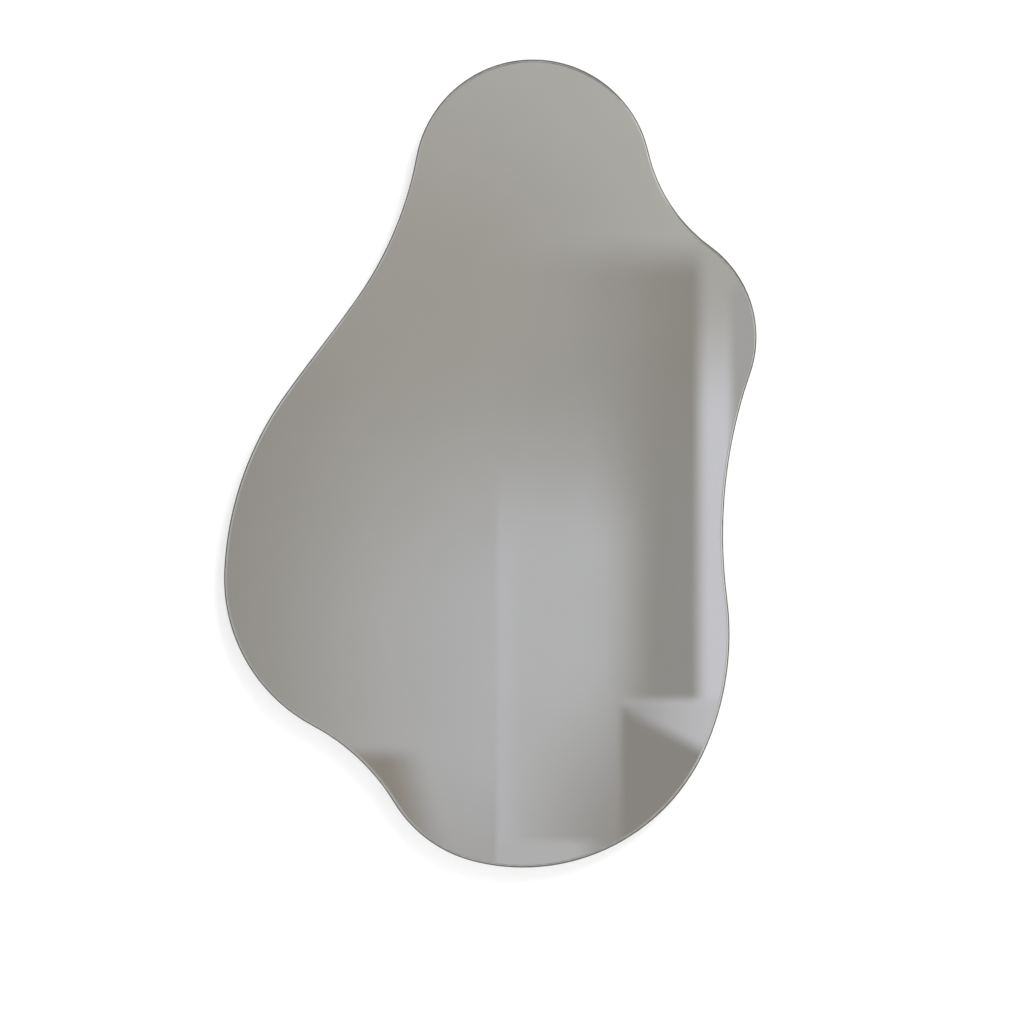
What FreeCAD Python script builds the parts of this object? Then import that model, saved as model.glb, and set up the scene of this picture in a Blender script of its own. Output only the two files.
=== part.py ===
import FreeCAD, Part
import math
import os

import Sketcher

# Free-form wall mirror, in millimetres. +X is right and +Z is up as one looks at the mirror, and
# the glass faces -Y. The wall is the plane y = 0. The origin is on the wall, midway between the
# two points where the wall hooks bear in the upright rings.

SIZES = {
    # The outline: four round lobes, each a centre (x, z) and a radius.
    "top_lobe_x": 26.0,
    "top_lobe_z": 169.0,
    "top_lobe_radius": 132.0,
    "left_lobe_x": -132.0,
    "left_lobe_z": -277.0,
    "left_lobe_radius": 186.0,
    "base_lobe_x": 15.0,
    "base_lobe_z": -377.0,
    "base_lobe_radius": 222.0,
    "right_lobe_x": 150.0,
    "right_lobe_z": -8.0,
    "right_lobe_radius": 125.0,
    # The straight slope at upper left: how far the top lobe stands out over its line, and the
    # space that the shoulder arc leaves between that line and the left lobe.
    "slope_bite": 55.0,
    "shoulder_gap": 31.0,
    "shoulder_radius": 366.0,
    # The tighter corner and the flatter flank that carry the base lobe on, left and right: each
    # arc's radius, and how far from the base lobe's centre the arcs change.
    "corner_radius": 145.0,
    "corner_reach": 57.0,
    "flank_radius": 315.0,
    "flank_drop": 90.0,
    # The four hollows between the lobes.
    "neck_radius": 404.0,
    "foot_radius": 236.0,
    "waist_radius": 548.0,
    "nape_radius": 178.0,
    # Layers, counted from the wall.
    "bumper_height": 5.0,
    "board_thickness": 9.0,
    "bond_thickness": 1.0,
    "film_thickness": 0.3,
    "coating_thickness": 0.1,
    "glass_thickness": 5.0,
    # How far each layer's edge stays inside the outline, and the ground edges.
    "film_inset": 0.85,
    "coating_inset": 2.4,
    "board_inset": 24.0,
    "front_arris": 2.5,
    "back_arris": 0.8,
    "board_bevel": 1.5,
    # Strips of tape and beads of adhesive between board and film. Each is placed by its middle,
    # counted from the centre of the lobe that carries it.
    "tape_width": 25.0,
    "tape_top_x": 0.0,
    "tape_top_z": -19.0,
    "tape_top_length": 150.0,
    "tape_middle_x": -180.0,
    "tape_middle_z": -112.0,
    "tape_middle_length": 220.0,
    "tape_left_x": -68.0,
    "tape_left_z": -3.0,
    "tape_left_length": 200.0,
    "tape_right_x": 20.0,
    "tape_right_z": -192.0,
    "tape_right_length": 260.0,
    "tape_base_x": 5.0,
    "tape_base_z": -63.0,
    "tape_base_length": 200.0,
    "glue_width": 14.0,
    "glue_top_x": 44.0,
    "glue_top_z": 1.0,
    "glue_top_length": 110.0,
    "glue_neck_x": -36.0,
    "glue_neck_z": -79.0,
    "glue_neck_length": 120.0,
    "glue_left_x": 2.0,
    "glue_left_z": 17.0,
    "glue_left_length": 220.0,
    "glue_middle_x": -90.0,
    "glue_middle_z": -142.0,
    "glue_middle_length": 240.0,
    "glue_right_x": 0.0,
    "glue_right_z": 18.0,
    "glue_right_length": 110.0,
    "glue_base_x": 95.0,
    "glue_base_z": -63.0,
    "glue_base_length": 150.0,
    # Hangers: the hooks' spacing, where the middle of the side pair lies from the right lobe's
    # centre, and the strap, its fold, the wire of the ring and its bow.
    "hook_spacing": 240.0,
    "side_hook_x": 40.0,
    "side_hook_z": -167.0,
    "side_hook_spacing": 240.0,
    "strap_width": 14.0,
    "strap_thickness": 0.8,
    "strap_length": 31.0,
    "strap_corner": 3.0,
    "fold_radius": 1.5,
    "wire_radius": 1.25,
    "wire_clearance": 0.06,
    "ring_half_width": 10.5,
    "ring_corner": 2.5,
    "ring_leg": 3.0,
    "ring_rest_gap": 0.3,
    # Screws: their places on the strap, counted from the hinge line, and their own sizes.
    "screw_first": 10.0,
    "screw_pitch": 14.0,
    "screw_radius": 1.75,
    "screw_depth": 6.5,
    "screw_point": 2.0,
    "screw_head_radius": 3.25,
    "screw_head_height": 2.0,
    "screw_head_rim": 0.7,
    "screw_cross_length": 3.6,
    "screw_cross_width": 0.9,
    "screw_cross_depth": 1.1,
    "strap_hole_clearance": 0.15,
    "pilot_clearance": 0.05,
    # Wall bumpers: how far inside the outline they stand, and their directions, in degrees, from
    # the centres of their lobes.
    "bumper_radius": 7.0,
    "bumper_face_radius": 6.0,
    "bumper_round": 0.8,
    "bumper_inset": 66.0,
    "bumper_top_angle": 90.0,
    "bumper_right_angle": 40.0,
    "bumper_left_angle": 180.0,
    "bumper_low_left_angle": 234.0,
    "bumper_low_right_angle": 325.0,
}

# Depths from the wall to the back of each layer.
BOARD_BACK = "sizes.bumper_height"
BOND_BACK = BOARD_BACK + " + sizes.board_thickness"
FILM_BACK = BOND_BACK + " + sizes.bond_thickness"
COATING_BACK = FILM_BACK + " + sizes.film_thickness"
GLASS_BACK = COATING_BACK + " + sizes.coating_thickness"

# The fold of a strap round the wire: its hole and its outer face.
FOLD_HOLE = "sizes.wire_radius + sizes.wire_clearance"
FOLD_OUTER = FOLD_HOLE + " + sizes.strap_thickness"

# How a sketch counts the points of a piece, and its own axes and origin.
START, END, CENTRE = range(1, 4)
LEVEL_AXIS, UPRIGHT_AXIS = range(-1, -3, -1)
ORIGIN = (LEVEL_AXIS, START)

# Points closer than this are one point.
HAIR = 1e-6


def vector(x, y, z=0.0):
    return FreeCAD.Vector(x, y, z)


def make_sheet(doc):
    sheet = doc.addObject("Spreadsheet::Sheet", "sizes")
    for row, (name, value) in enumerate(SIZES.items(), start=1):
        sheet.set(f"A{row}", name)
        sheet.set(f"B{row}", str(value))
        sheet.setAlias(f"B{row}", name)
    doc.recompute()
    return sheet


def make_body(doc, name):
    body = doc.addObject("PartDesign::Body", name)
    body.Label = name
    return body


def make_sketch(body, plane, name, depth=None):
    """A sketch on one of the body's own origin planes, moved along the plane's normal."""
    sketch = body.newObject("Sketcher::SketchObject", name)
    origin_plane = [f for f in body.Origin.OriginFeatures if f.Role == plane][0]
    sketch.AttachmentSupport = [(origin_plane, "")]
    sketch.MapMode = "FlatFace"
    if depth:
        sketch.setExpression(".AttachmentOffset.Base.z", depth)
    return sketch


def bind(sketch, kind, *where_and_value):
    """Adds a dimension to a sketch and ties it to the sheet by the expression given last."""
    *where, value, expression = where_and_value
    index = sketch.addConstraint(Sketcher.Constraint(kind, *where, value))
    sketch.setExpression(f"Constraints[{index}]", expression)


def pad(body, sketch, length):
    feature = body.newObject("PartDesign::Pad", sketch.Name + "_pad")
    feature.Profile = sketch
    feature.setExpression("Length", length)
    return feature


# ---- the outline ------------------------------------------------------------------------------


def touching_outside(first, first_radius, second, second_radius, radius):
    """Centre of a hollow's circle that touches two lobes from outside, right of the way between."""
    reach_first = first_radius + radius
    reach_second = second_radius + radius
    way = second - first
    along = (reach_first**2 - reach_second**2 + way.Length**2) / (2 * way.Length)
    aside = math.sqrt(reach_first**2 - along**2)
    unit = way / way.Length
    return first + unit * along + vector(unit.y, -unit.x) * aside


def slope_normal(top, top_distance, left, left_distance):
    """Outward normal of the line that passes two centres at the given distances."""
    way = left - top
    turn = math.acos((top_distance - left_distance) / way.Length)
    angle = math.atan2(way.y, way.x) - turn
    return vector(math.cos(angle), math.sin(angle))


def outline_arcs(size, inset):
    """The outline's twelve pieces in order, anticlockwise from the top lobe as seen from the front.

    Each is (name, centre, radius), with a hollow's radius negative, or ("slope", normal,
    distance) for the straight piece.
    """
    top = vector(size.top_lobe_x, size.top_lobe_z)
    left = vector(size.left_lobe_x, size.left_lobe_z)
    base = vector(size.base_lobe_x, size.base_lobe_z)
    right = vector(size.right_lobe_x, size.right_lobe_z)

    top_distance = size.top_lobe_radius - size.slope_bite
    left_distance = size.left_lobe_radius + size.shoulder_gap
    normal = slope_normal(top, top_distance, left, left_distance)
    travel = vector(-normal.y, normal.x)
    line_distance = top.dot(normal) + top_distance

    neck_side = top_distance + size.neck_radius
    neck_along = math.sqrt((size.top_lobe_radius + size.neck_radius)**2 - neck_side**2)
    neck = top + normal * neck_side + travel * neck_along

    shoulder_side = left_distance - size.shoulder_radius
    shoulder_reach = size.shoulder_radius - size.left_lobe_radius
    shoulder_along = math.sqrt(shoulder_reach**2 - shoulder_side**2)
    shoulder = left + normal * shoulder_side - travel * shoulder_along

    corner_angle = -math.pi / 2 - math.asin(size.corner_reach / size.base_lobe_radius)
    corner_way = vector(math.cos(corner_angle), math.sin(corner_angle))
    corner = base + corner_way * (size.base_lobe_radius - size.corner_radius)

    flank_angle = -math.asin(size.flank_drop / size.base_lobe_radius)
    flank_way = vector(math.cos(flank_angle), math.sin(flank_angle))
    flank = base - flank_way * (size.flank_radius - size.base_lobe_radius)

    foot = touching_outside(left, size.left_lobe_radius, corner, size.corner_radius,
                            size.foot_radius)
    waist = touching_outside(flank, size.flank_radius, right, size.right_lobe_radius,
                             size.waist_radius)
    nape = touching_outside(right, size.right_lobe_radius, top, size.top_lobe_radius,
                            size.nape_radius)
    return [
        ("top_lobe", top, size.top_lobe_radius - inset),
        ("neck", neck, -size.neck_radius - inset),
        ("slope", normal, line_distance - inset),
        ("shoulder", shoulder, size.shoulder_radius - inset),
        ("left_lobe", left, size.left_lobe_radius - inset),
        ("foot", foot, -size.foot_radius - inset),
        ("corner", corner, size.corner_radius - inset),
        ("base_lobe", base, size.base_lobe_radius - inset),
        ("flank", flank, size.flank_radius - inset),
        ("waist", waist, -size.waist_radius - inset),
        ("right_lobe", right, size.right_lobe_radius - inset),
        ("nape", nape, -size.nape_radius - inset),
    ]


def joint(one, other):
    """The point where two neighbouring pieces of the outline touch."""
    if one[0] == "slope":
        one, other = other, one
    name, centre, radius = one
    if other[0] == "slope":
        normal, distance = other[1:]
        return centre + normal * (distance - centre.dot(normal))
    outward = (centre - other[1]) / (other[2] - radius)
    return centre + outward * radius


def outline_sketch(body, size, name, depth, inset_name=None):
    """The mirror's outline, or the same outline moved inward by a named inset."""
    sketch = make_sketch(body, "XZ_Plane", name, depth)
    inset = getattr(size, inset_name) if inset_name else 0.0
    inset_term = f"sizes.{inset_name}" if inset_name else "0"
    arcs = outline_arcs(size, inset)
    joints = [joint(arc, arcs[(i + 1) % len(arcs)]) for i, arc in enumerate(arcs)]

    # Each piece runs from the joint before it to its own. An arc is always drawn anticlockwise,
    # so a hollow begins at its far end.
    index = {}
    begins = {}
    ends = {}
    for i, (piece, place, radius) in enumerate(arcs):
        index[piece] = i
        before, after = joints[i - 1], joints[i]
        begins[piece], ends[piece] = (START, END)
        if piece == "slope":
            sketch.addGeometry(Part.LineSegment(before, after))
            continue
        if radius < 0:
            before, after = after, before
            begins[piece], ends[piece] = (END, START)
        from_angle = math.atan2(before.y - place.y, before.x - place.x)
        to_angle = math.atan2(after.y - place.y, after.x - place.x)
        circle = Part.Circle(place, vector(0, 0, 1), abs(radius))
        sketch.addGeometry(Part.ArcOfCircle(circle, from_angle, to_angle))

    for i, (piece, _, _) in enumerate(arcs):
        following = arcs[(i + 1) % len(arcs)][0]
        sketch.addConstraint(Sketcher.Constraint(
            "Tangent", index[piece], ends[piece], index[following], begins[following]))

    for piece, place, radius in arcs:
        if piece == "slope":
            continue
        sign = "+" if radius < 0 else "-"
        bind(sketch, "Radius", index[piece], abs(radius),
             f"sizes.{piece}_radius {sign} {inset_term}")
        if piece.endswith("_lobe"):
            bind(sketch, "DistanceX", *ORIGIN, index[piece], CENTRE, place.x,
                 f"sizes.{piece}_x")
            bind(sketch, "DistanceY", *ORIGIN, index[piece], CENTRE, place.y,
                 f"sizes.{piece}_z")

    normal, distance = arcs[index["slope"]][1:]
    top, left, base = (arcs[index[name]][1] for name in ("top_lobe", "left_lobe", "base_lobe"))
    bind(sketch, "Distance", index["top_lobe"], CENTRE, index["slope"],
         distance - top.dot(normal),
         f"sizes.top_lobe_radius - sizes.slope_bite - {inset_term}")
    bind(sketch, "Distance", index["left_lobe"], CENTRE, index["slope"],
         distance - left.dot(normal),
         f"sizes.left_lobe_radius + sizes.shoulder_gap - {inset_term}")
    share = f"(1 - {inset_term} / sizes.base_lobe_radius)"
    bind(sketch, "DistanceX", index["base_lobe"], START, index["base_lobe"], CENTRE,
         base.x - joints[index["corner"]].x, f"sizes.corner_reach * {share}")
    bind(sketch, "DistanceY", index["base_lobe"], END, index["base_lobe"], CENTRE,
         base.y - joints[index["base_lobe"]].y, f"sizes.flank_drop * {share}")
    return sketch


# ---- the layers -------------------------------------------------------------------------------


def chamfer(body, feature, faces, size):
    cut = body.newObject("PartDesign::Chamfer", feature.Name + "_" + size)
    cut.Base = (feature, faces)
    cut.setExpression("Size", f"sizes.{size}")
    return cut


def face_across_y(shape, front):
    """Name of the flat face that looks along Y and lies furthest to the front or to the wall."""
    names = []
    for i, face in enumerate(shape.Faces, start=1):
        if face.BoundBox.YLength < HAIR:
            names.append((face.BoundBox.YMin, f"Face{i}"))
    return min(names)[1] if front else max(names)[1]


def mirror_glass(doc, size):
    body = make_body(doc, "mirror_glass")
    pane = pad(body, outline_sketch(body, size, "pane", GLASS_BACK), "sizes.glass_thickness")
    doc.recompute()
    ground = chamfer(body, pane, [face_across_y(pane.Shape, True)], "front_arris")
    doc.recompute()
    chamfer(body, ground, [face_across_y(ground.Shape, False)], "back_arris")
    return body


def silver_coating(doc, size):
    body = make_body(doc, "silver_coating")
    layer = outline_sketch(body, size, "layer", COATING_BACK, "coating_inset")
    pad(body, layer, "sizes.coating_thickness")
    return body


def backing_film(doc, size):
    """The film lies over the coating and closes on the glass round the coating's edge."""
    body = make_body(doc, "backing_film")
    sheet = outline_sketch(body, size, "sheet", FILM_BACK, "film_inset")
    pad(body, sheet, "sizes.film_thickness + sizes.coating_thickness")
    recess = body.newObject("PartDesign::Pocket", "recess")
    recess.Profile = outline_sketch(body, size, "recess_edge", GLASS_BACK, "coating_inset")
    recess.setExpression("Length", "sizes.coating_thickness")
    return body


def backing_board(doc, size):
    body = make_body(doc, "backing_board")
    sheet = outline_sketch(body, size, "panel", BOARD_BACK, "board_inset")
    panel = pad(body, sheet, "sizes.board_thickness")
    doc.recompute()
    chamfer(body, panel, [face_across_y(panel.Shape, False)], "board_bevel")
    holes = make_sketch(body, "XZ_Plane", "pilot_holes", BOARD_BACK)
    for hanger in HANGERS:
        for reach in SCREW_REACHES:
            across, up = hanger.place(f"-({reach})")
            hole = holes.addGeometry(Part.Circle(vector(0, 0), vector(0, 0, 1), 1.0))
            bind(holes, "DistanceX", *ORIGIN, hole, CENTRE, 0.0, across)
            bind(holes, "DistanceY", *ORIGIN, hole, CENTRE, 0.0, up)
            bind(holes, "Radius", hole, 1.0, "sizes.screw_radius + sizes.pilot_clearance")
    drilled = body.newObject("PartDesign::Pocket", "drilled")
    drilled.Profile = holes
    drilled.Reversed = True
    drilled.setExpression("Length", "sizes.screw_depth")
    return body


def tape(doc, place, lobe):
    """One strip of double-sided tape between the board and the film."""
    strip = doc.addObject("Part::Box", f"tape_{place}")
    strip.setExpression("Length", "sizes.tape_width")
    strip.setExpression("Width", "sizes.bond_thickness")
    strip.setExpression("Height", f"sizes.tape_{place}_length")
    strip.setExpression(".Placement.Base.x",
                        f"sizes.{lobe}_x + sizes.tape_{place}_x - sizes.tape_width / 2")
    strip.setExpression(".Placement.Base.y", f"-({FILM_BACK})")
    strip.setExpression(".Placement.Base.z",
                        f"sizes.{lobe}_z + sizes.tape_{place}_z - sizes.tape_{place}_length / 2")
    return strip


def glue(doc, size, place, lobe):
    """One bead of adhesive, pressed flat: a strip with round ends."""
    body = make_body(doc, f"glue_{place}")
    sketch = make_sketch(body, "XZ_Plane", f"bead_{place}", BOND_BACK)
    radius = size.glue_width / 2
    across = getattr(size, f"{lobe}_x") + getattr(size, f"glue_{place}_x")
    up = getattr(size, f"{lobe}_z") + getattr(size, f"glue_{place}_z")
    half = getattr(size, f"glue_{place}_length") / 2 - radius
    ends = []
    for side, first_angle in ((1, 0.0), (-1, math.pi)):
        circle = Part.Circle(vector(across, up + side * half), vector(0, 0, 1), radius)
        arc = Part.ArcOfCircle(circle, first_angle, first_angle + math.pi)
        ends.append(sketch.addGeometry(arc))
    upper, lower = ends
    left_side = sketch.addGeometry(Part.LineSegment(
        vector(across - radius, up + half), vector(across - radius, up - half)))
    right_side = sketch.addGeometry(Part.LineSegment(
        vector(across + radius, up - half), vector(across + radius, up + half)))
    for one, one_end, other, other_end in (
            (upper, END, left_side, START), (left_side, END, lower, START),
            (lower, END, right_side, START), (right_side, END, upper, START)):
        sketch.addConstraint(Sketcher.Constraint("Tangent", one, one_end, other, other_end))
    sketch.addConstraint(Sketcher.Constraint("Vertical", left_side))
    bind(sketch, "Radius", upper, radius, "sizes.glue_width / 2")
    half_length = f"(sizes.glue_{place}_length - sizes.glue_width) / 2"
    middle_z = f"sizes.{lobe}_z + sizes.glue_{place}_z"
    bind(sketch, "DistanceX", *ORIGIN, upper, CENTRE, across,
         f"sizes.{lobe}_x + sizes.glue_{place}_x")
    bind(sketch, "DistanceY", *ORIGIN, upper, CENTRE, up + half, f"{middle_z} + {half_length}")
    bind(sketch, "DistanceY", *ORIGIN, lower, CENTRE, up - half, f"{middle_z} - {half_length}")
    pad(body, sketch, "sizes.bond_thickness")
    return body


# ---- the hangers ------------------------------------------------------------------------------


RING_REACH = "(sizes.ring_half_width + sizes.ring_leg + sizes.ring_corner)"
RING_BEARING = f"({RING_REACH} - sizes.wire_radius)"
RING_LEAN = ("asin((sizes.wire_clearance + sizes.strap_thickness - sizes.ring_rest_gap)"
             f" / {RING_REACH})")
SIDE_HINGE_X = f"sizes.right_lobe_x + sizes.side_hook_x - {RING_BEARING}"
SIDE_MIDDLE_Z = "sizes.right_lobe_z + sizes.side_hook_z"
SCREW_REACHES = ("sizes.screw_first", "sizes.screw_first + sizes.screw_pitch")


class Hanger:
    """Where a hanger's hinge line stands, and which way its ring points from there.

    A hanger is built with its hinge along X, its ring up and the wall at +Y. One that hangs the
    mirror on its side is turned a quarter, so that its ring points to +X.
    """

    def __init__(self, strap, ring, screws, hinge_x, hinge_z, points_right):
        self.strap = strap
        self.ring = ring
        self.screws = screws
        self.hinge_x = hinge_x
        self.hinge_z = hinge_z
        self.points_right = points_right

    def place(self, reach):
        """The x and z of the point that lies this far beyond the hinge, on the ring's side."""
        if self.points_right:
            return f"{self.hinge_x} + {reach}", self.hinge_z
        return self.hinge_x, f"{self.hinge_z} + {reach}"

    def seat(self, item, reach, depth):
        across, up = self.place(reach)
        quarter = 90 if self.points_right else 0
        item.Placement = FreeCAD.Placement(vector(0, 0), FreeCAD.Rotation(vector(0, 1), quarter))
        item.setExpression(".Placement.Base.x", across)
        item.setExpression(".Placement.Base.y", depth)
        item.setExpression(".Placement.Base.z", up)


HANGERS = (
    Hanger("hanger_strap_left", "hanger_ring_left", "hanger_screws_left",
           "-sizes.hook_spacing / 2", f"-{RING_BEARING}", False),
    Hanger("hanger_strap_right", "hanger_ring_right", "hanger_screws_right",
           "sizes.hook_spacing / 2", f"-{RING_BEARING}", False),
    Hanger("side_strap_upper", "side_ring_upper", "side_screws_upper", SIDE_HINGE_X,
           f"{SIDE_MIDDLE_Z} + sizes.side_hook_spacing / 2", True),
    Hanger("side_strap_lower", "side_ring_lower", "side_screws_lower", SIDE_HINGE_X,
           f"{SIDE_MIDDLE_Z} - sizes.side_hook_spacing / 2", True),
)
HINGE_DEPTH = f"-({BOARD_BACK}) + {FOLD_OUTER}"
STRAP_FACE_DEPTH = f"-({BOARD_BACK}) + 2 * sizes.strap_thickness"


def strap_profile(body, size):
    """A strip folded round the wire, seen along the hinge: two layers, an eye and a bend."""
    sketch = make_sketch(body, "YZ_Plane", "fold")
    hole = size.wire_radius + size.wire_clearance
    outer = hole + size.strap_thickness
    face = 2 * size.strap_thickness - outer
    bend_y = face + size.fold_radius
    bend_z = -math.sqrt((outer + size.fold_radius)**2 - bend_y**2)
    foot = -size.strap_length
    turn = math.atan2(bend_z, bend_y)

    back = sketch.addGeometry(Part.LineSegment(vector(-outer, 0), vector(-outer, foot)))
    end = sketch.addGeometry(Part.LineSegment(vector(-outer, foot), vector(face, foot)))
    front = sketch.addGeometry(Part.LineSegment(vector(face, foot), vector(face, bend_z)))
    bend_circle = Part.Circle(vector(bend_y, bend_z), vector(0, 0, 1), size.fold_radius)
    bend = sketch.addGeometry(Part.ArcOfCircle(bend_circle, turn + math.pi, math.pi))
    eye_circle = Part.Circle(vector(0, 0), vector(0, 0, 1), outer)
    eye = sketch.addGeometry(Part.ArcOfCircle(eye_circle, turn, math.pi))
    hole_circle = Part.Circle(vector(0, 0), vector(0, 0, 1), hole)
    hole_index = sketch.addGeometry(hole_circle)

    for kind, *where in (
            ("Coincident", back, END, end, START), ("Coincident", end, END, front, START),
            ("Tangent", front, END, bend, END), ("Tangent", bend, START, eye, START),
            ("Tangent", eye, END, back, START), ("Horizontal", end), ("Vertical", back),
            ("Coincident", eye, CENTRE, *ORIGIN), ("Coincident", hole_index, CENTRE, *ORIGIN)):
        sketch.addConstraint(Sketcher.Constraint(kind, *where))
    bind(sketch, "Radius", eye, outer, FOLD_OUTER)
    bind(sketch, "Radius", hole_index, hole, FOLD_HOLE)
    bind(sketch, "Radius", bend, size.fold_radius, "sizes.fold_radius")
    bind(sketch, "DistanceX", end, START, end, END, face + outer, "2 * sizes.strap_thickness")
    bind(sketch, "DistanceY", end, START, *ORIGIN, size.strap_length, "sizes.strap_length")
    return sketch


def strap(doc, size, hanger):
    body = make_body(doc, hanger.strap)
    folded = pad(body, strap_profile(body, size), "sizes.strap_width")
    folded.Midplane = True
    doc.recompute()
    round_end = body.newObject("PartDesign::Fillet", "round_end")
    round_end.Base = (folded, end_edges(folded.Shape))
    round_end.setExpression("Radius", "sizes.strap_corner")
    holes = make_sketch(body, "XZ_Plane", "screw_holes")
    for reach in SCREW_REACHES:
        hole = holes.addGeometry(Part.Circle(vector(0, 0), vector(0, 0, 1), 1.0))
        bind(holes, "DistanceX", *ORIGIN, hole, CENTRE, 0.0, "0")
        bind(holes, "DistanceY", *ORIGIN, hole, CENTRE, 0.0, f"-({reach})")
        bind(holes, "Radius", hole, 1.0, "sizes.screw_radius + sizes.strap_hole_clearance")
    punched = body.newObject("PartDesign::Pocket", "punched")
    punched.Profile = holes
    punched.Type = "ThroughAll"
    punched.Midplane = True
    hanger.seat(body, "0", HINGE_DEPTH)
    return body


def end_edges(shape):
    """Names of the two short edges across the sheet at the strap's lower end."""
    lowest = shape.BoundBox.ZMin
    names = []
    for i, edge in enumerate(shape.Edges, start=1):
        box = edge.BoundBox
        if box.ZMax - lowest < HAIR and box.XLength < HAIR:
            names.append(f"Edge{i}")
    return names


def ring(doc, size, hanger):
    """A D of round wire: a straight bar in the strap's fold, two legs and a half-round bow."""
    body = make_body(doc, hanger.ring)
    path = make_sketch(body, "XZ_Plane", "bow")
    path.AttachmentOffset = FreeCAD.Placement(vector(0, 0), FreeCAD.Rotation(vector(1, 0), 0))
    path.setExpression(".AttachmentOffset.Rotation.Angle", RING_LEAN)
    half, corner = size.ring_half_width, size.ring_corner
    top = corner + size.ring_leg
    bar_end = half - corner

    def line(x1, z1, x2, z2):
        return path.addGeometry(Part.LineSegment(vector(x1, z1), vector(x2, z2)))

    def arc(x, z, radius, first, last):
        circle = Part.Circle(vector(x, z), vector(0, 0, 1), radius)
        return path.addGeometry(Part.ArcOfCircle(circle, math.radians(first), math.radians(last)))

    right_bar = line(0, 0, bar_end, 0)
    right_corner = arc(bar_end, corner, corner, 270, 360)
    right_leg = line(half, corner, half, top)
    bow = arc(0, top, half, 0, 180)
    left_leg = line(-half, top, -half, corner)
    left_corner = arc(-bar_end, corner, corner, 180, 270)
    left_bar = line(-bar_end, 0, 0, 0)
    chain = (right_bar, right_corner, right_leg, bow, left_leg, left_corner, left_bar)
    for one, other in zip(chain[:-1], chain[1:]):
        path.addConstraint(Sketcher.Constraint("Tangent", one, END, other, START))
    for kind, *where in (("Horizontal", right_bar), ("Vertical", right_leg),
                         ("Coincident", left_bar, END, right_bar, START),
                         ("Coincident", right_bar, START, *ORIGIN),
                         ("Equal", left_corner, right_corner), ("Equal", left_leg, right_leg)):
        path.addConstraint(Sketcher.Constraint(kind, *where))
    bind(path, "Radius", right_corner, corner, "sizes.ring_corner")
    bind(path, "Radius", bow, half, "sizes.ring_half_width")
    bind(path, "DistanceY", right_leg, START, right_leg, END, size.ring_leg, "sizes.ring_leg")

    section = make_sketch(body, "YZ_Plane", "wire_section")
    wire = section.addGeometry(Part.Circle(vector(0, 0), vector(0, 0, 1), size.wire_radius))
    section.addConstraint(Sketcher.Constraint("Coincident", wire, CENTRE, *ORIGIN))
    bind(section, "Radius", wire, size.wire_radius, "sizes.wire_radius")
    pipe = body.newObject("PartDesign::AdditivePipe", "wire")
    pipe.Profile = section
    pipe.Spine = (path, [f"Edge{i + 1}" for i in range(len(chain))])
    hanger.seat(body, "0", HINGE_DEPTH)
    return body


def screw(doc, size, name):
    """A pan-head screw along +Y with its head's seat at y = 0."""
    body = make_body(doc, name)
    sketch = make_sketch(body, "XY_Plane", name + "_profile")
    head, height, rim = size.screw_head_radius, size.screw_head_height, size.screw_head_rim
    shank = size.screw_radius
    length = 2 * size.strap_thickness + size.screw_depth
    dome_radius = (head**2 + (height - rim)**2) / (2 * (height - rim))
    dome_centre = height - dome_radius
    corners = [vector(0, height), vector(0, -length), vector(shank, size.screw_point - length),
               vector(shank, 0), vector(head, 0), vector(head, rim)]
    lines = []
    for start, end in zip(corners[:-1], corners[1:]):
        lines.append(sketch.addGeometry(Part.LineSegment(start, end)))
    axis, point, side, seat, edge = lines
    dome_circle = Part.Circle(vector(0, dome_centre), vector(0, 0, 1), dome_radius)
    dome = sketch.addGeometry(Part.ArcOfCircle(
        dome_circle, math.atan2(rim - dome_centre, head), math.pi / 2))
    for one, other in zip(lines[:-1], lines[1:]):
        sketch.addConstraint(Sketcher.Constraint("Coincident", one, END, other, START))
    for kind, *where in (("Coincident", edge, END, dome, START),
                         ("Coincident", dome, END, axis, START),
                         ("PointOnObject", axis, START, UPRIGHT_AXIS),
                         ("PointOnObject", axis, END, UPRIGHT_AXIS),
                         ("PointOnObject", dome, CENTRE, UPRIGHT_AXIS),
                         ("Vertical", side), ("Horizontal", seat), ("Vertical", edge),
                         ("PointOnObject", seat, START, LEVEL_AXIS)):
        sketch.addConstraint(Sketcher.Constraint(kind, *where))
    bind(sketch, "DistanceX", *ORIGIN, side, START, shank, "sizes.screw_radius")
    bind(sketch, "DistanceX", *ORIGIN, edge, START, head, "sizes.screw_head_radius")
    bind(sketch, "DistanceY", edge, START, edge, END, rim, "sizes.screw_head_rim")
    bind(sketch, "DistanceY", *ORIGIN, axis, START, height, "sizes.screw_head_height")
    bind(sketch, "DistanceY", axis, END, *ORIGIN, length,
         "2 * sizes.strap_thickness + sizes.screw_depth")
    bind(sketch, "DistanceY", axis, END, side, START, size.screw_point, "sizes.screw_point")
    turned = body.newObject("PartDesign::Revolution", name + "_turned")
    turned.Profile = sketch
    turned.ReferenceAxis = (sketch, ["V_Axis"])
    turned.Angle = 360.0
    for slot_name, long_side, short_side in (("upright", "length", "width"),
                                             ("level", "width", "length")):
        slot = make_sketch(body, "XZ_Plane", f"{name}_{slot_name}",
                           "-sizes.screw_head_height")
        rectangle(slot, f"sizes.screw_cross_{short_side} / 2",
                  f"sizes.screw_cross_{long_side} / 2")
        cut = body.newObject("PartDesign::Pocket", f"{name}_{slot_name}_cut")
        cut.Profile = slot
        cut.Reversed = True
        cut.setExpression("Length", "sizes.screw_cross_depth")
    return body


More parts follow.
